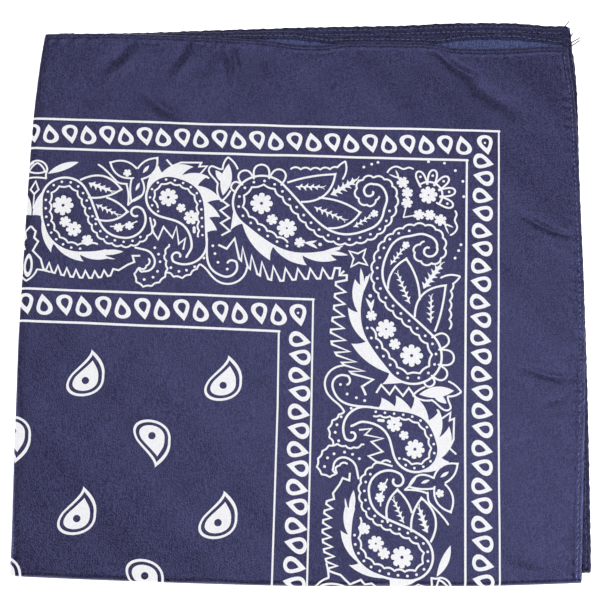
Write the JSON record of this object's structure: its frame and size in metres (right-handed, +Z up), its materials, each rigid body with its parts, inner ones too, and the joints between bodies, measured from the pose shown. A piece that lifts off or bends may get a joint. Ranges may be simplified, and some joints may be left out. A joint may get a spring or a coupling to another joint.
{
  "type": "folded bandana",
  "caption": "Square satin bandana with a white paisley print and narrow sewn hems, folded in quarters and lying flat.",
  "frame": {"origin": "middle of the bounding rectangle, on the underside that it rests on", "axes": "+Z up out of the printed face, +Y to the open top edge, +X to the open side edge; the folds are at -X and -Y"},
  "size_m": [0.2862, 0.2998, 0.0056],
  "materials": {
    "satin": "navy polyester satin with a soft sheen, printed in white",
    "reverse": "the cloth's unprinted wrong side, a little lighter and duller",
    "hem": "double-turned satin hem with one row of lockstitch"
  },
  "bodies": {
    "root": {"panel_front": "satin", "panels_inner": "reverse", "panel_back": "satin", "hem_front_top": "hem", "hem_front_right": "hem", "hem_second_top": "hem", "hem_second_right": "hem", "hem_third_top": "hem", "hem_third_right": "hem", "hem_back_top": "hem", "hem_back_right": "hem"}
  },
  "joints": []
}
